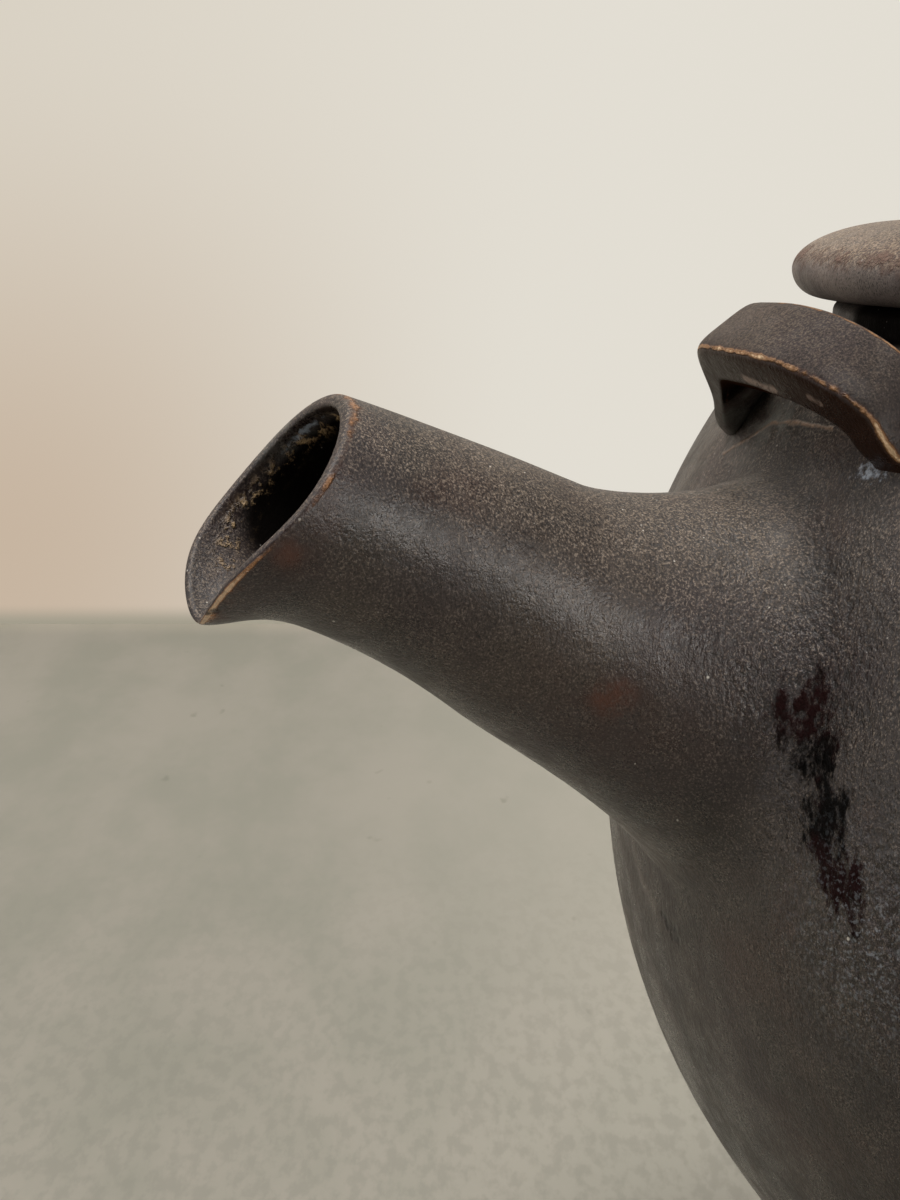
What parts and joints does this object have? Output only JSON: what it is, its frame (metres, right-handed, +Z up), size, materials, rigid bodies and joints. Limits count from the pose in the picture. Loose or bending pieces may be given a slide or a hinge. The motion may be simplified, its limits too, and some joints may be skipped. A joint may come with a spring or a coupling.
{
  "type": "ceramic teapot",
  "caption": "Small round stoneware teapot with a short horn spout and pouring lip, strap lugs on the shoulder, a strainer inside and a loose disc lid with a knob on a low collar.",
  "frame": {"origin": "centre of the underside of the foot, on the table", "axes": "+Z up along the pot's axis of turning, the spout points along -X, the front lug is at -X on the shoulder and the rear lug at +X"},
  "size_m": [0.1459, 0.112, 0.1036],
  "materials": {
    "pot_glaze": "satin iron glaze, dark brown, finely speckled",
    "spout_glaze": "satin iron glaze, copper brown where it thins on the rim",
    "strainer_clay": "matt brown stoneware",
    "front_lug_glaze": "satin iron glaze, copper brown along the edges",
    "rear_lug_glaze": "satin iron glaze, copper brown along the edges",
    "lid_glaze": "satin iron glaze, rust brown along the edge",
    "flange_clay": "matt brown stoneware",
    "knob_glaze": "satin iron glaze"
  },
  "bodies": {
    "pot": {"body_shell": "pot_glaze", "spout": "spout_glaze", "strainer": "strainer_clay", "front_lug": "front_lug_glaze", "rear_lug": "rear_lug_glaze"},
    "lid": {"lid_disc": "lid_glaze", "lid_flange": "flange_clay", "lid_knob": "knob_glaze"}
  },
  "joints": [
    {"name": "lid_lift", "type": "slide", "parent": "pot", "child": "lid", "axis": [0, 0, 1], "range_m": [0, 0.05]}
  ]
}
